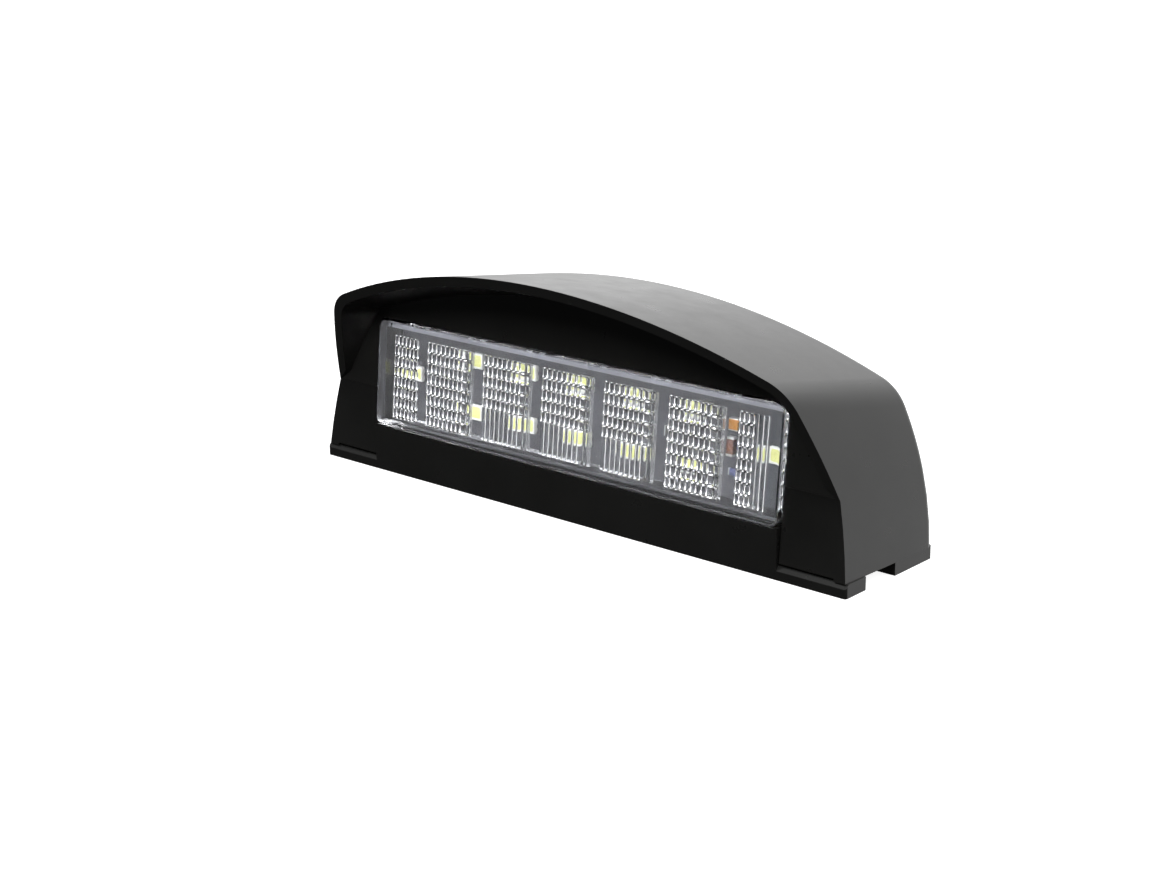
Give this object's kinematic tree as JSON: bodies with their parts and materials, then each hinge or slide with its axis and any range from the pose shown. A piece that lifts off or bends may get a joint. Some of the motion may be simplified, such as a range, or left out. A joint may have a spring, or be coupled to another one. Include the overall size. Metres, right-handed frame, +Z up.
{
  "type": "number plate lamp",
  "caption": "Hooded lamp that lights a vehicle's number plate: arched black cap over a clear fluted lens, a lit circuit board in a tray, and a flat foot with fixing holes.",
  "frame": {"origin": "middle of the foot's underside", "axes": "+X along the lamp, -Y out of the lit front, +Z up from the mounting surface"},
  "size_m": [0.1308, 0.035, 0.0468],
  "materials": {
    "hood": "satin",
    "base": "satin",
    "lens": "clear moulded plastic with flutes inside",
    "board": "white lacquer",
    "led": "yellow phosphor in a white package",
    "capacitor": "smooth",
    "diode": "smooth",
    "resistor": "smooth",
    "regulator": "smooth",
    "grommet": "dull"
  },
  "bodies": {
    "root": {"hood": "hood", "base": "base", "lens": "lens", "circuit_board": "board", "led_01": "led", "led_02": "led", "led_03": "led", "led_04": "led", "led_05": "led", "led_06": "led", "led_07": "led", "led_08": "led", "led_09": "led", "led_10": "led", "led_11": "led", "led_12": "led", "capacitor": "capacitor", "diode": "diode", "resistor_1": "resistor", "resistor_2": "resistor", "regulator": "regulator", "cable_grommet": "grommet"}
  },
  "joints": []
}
